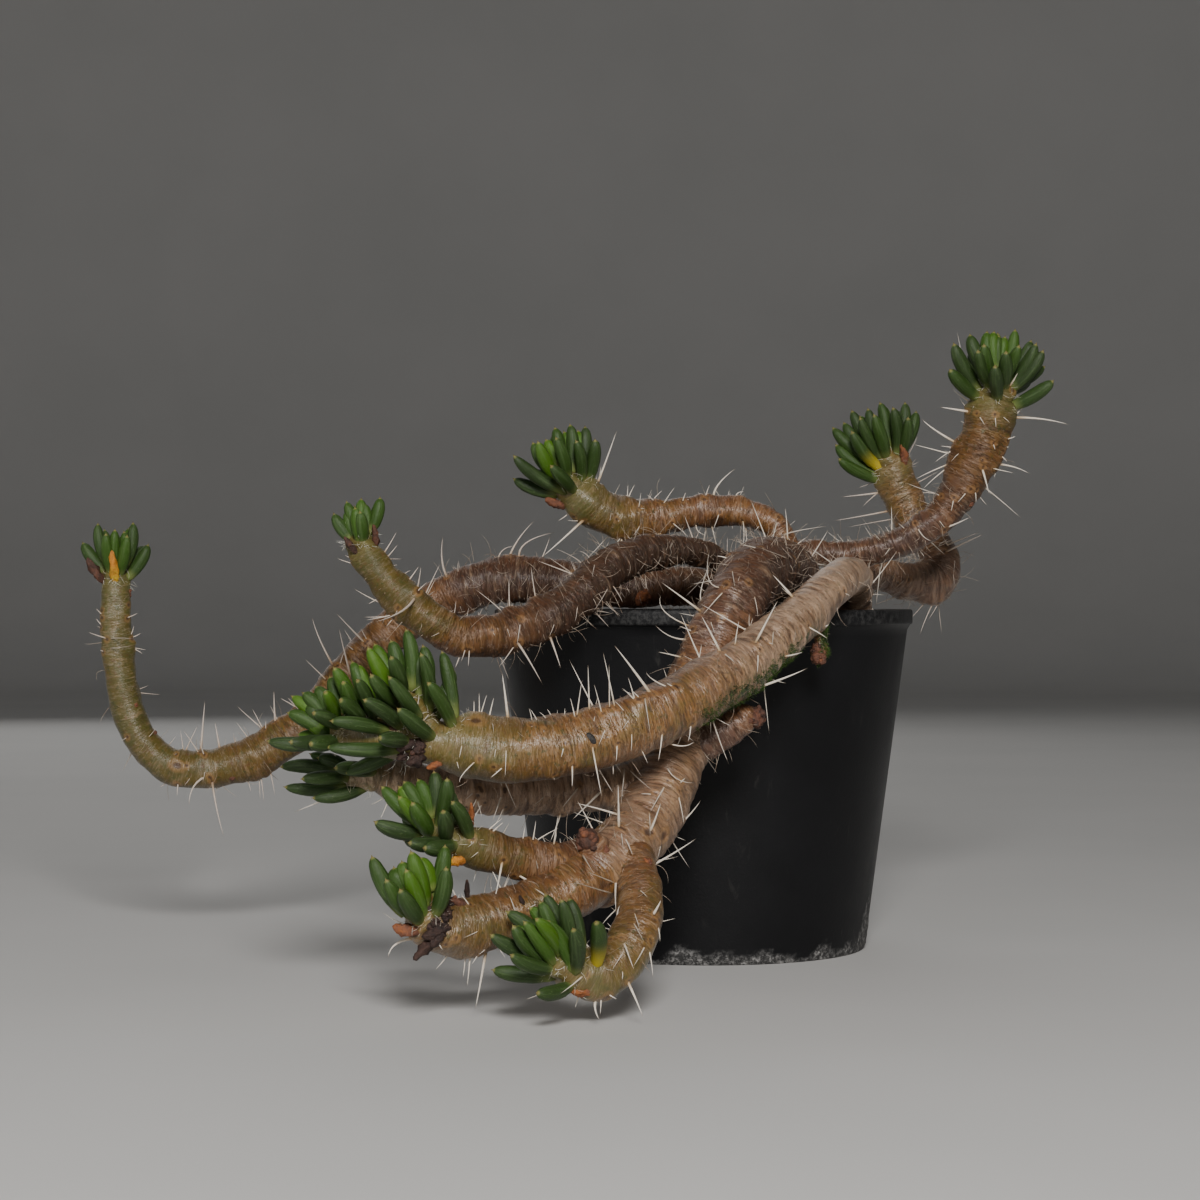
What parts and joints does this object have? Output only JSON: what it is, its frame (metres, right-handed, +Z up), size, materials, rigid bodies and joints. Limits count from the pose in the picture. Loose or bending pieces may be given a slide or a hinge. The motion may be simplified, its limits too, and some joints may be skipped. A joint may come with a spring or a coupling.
{
  "type": "potted maihuenia",
  "caption": "Potted maihuenia: sprawling, ringed, spiny stems with heads of plump green leaves, rooted in soil in a round tapered black plastic pot.",
  "frame": {"origin": "centre of the pot's flat underside, which rests on the surface", "axes": "+Z up, +X to the right and +Y away from the camera in the picture; the plant leans to -X and hangs over the -Y side"},
  "size_m": [0.2113, 0.1877, 0.1347],
  "materials": {
    "black_plastic": "satin",
    "potting_mix": "matte",
    "old_stem": "matte",
    "young_stem": "matte",
    "leaf": "satin"
  },
  "bodies": {
    "root": {"pot": "black_plastic", "soil": "potting_mix", "stem_main": "old_stem", "stem_front": "young_stem", "stem_left": "old_stem", "stem_far_left": "young_stem", "stem_right_back": "young_stem", "leaves_far_left": "leaf", "leaves_left": "leaf", "leaves_upper": "leaf", "leaves_right_tall": "leaf", "leaves_right_back": "leaf", "leaves_front": "leaf", "leaves_behind_front": "leaf", "leaves_lower_middle": "leaf", "leaves_lower_left": "leaf", "leaves_lower_loop": "leaf"}
  },
  "joints": []
}
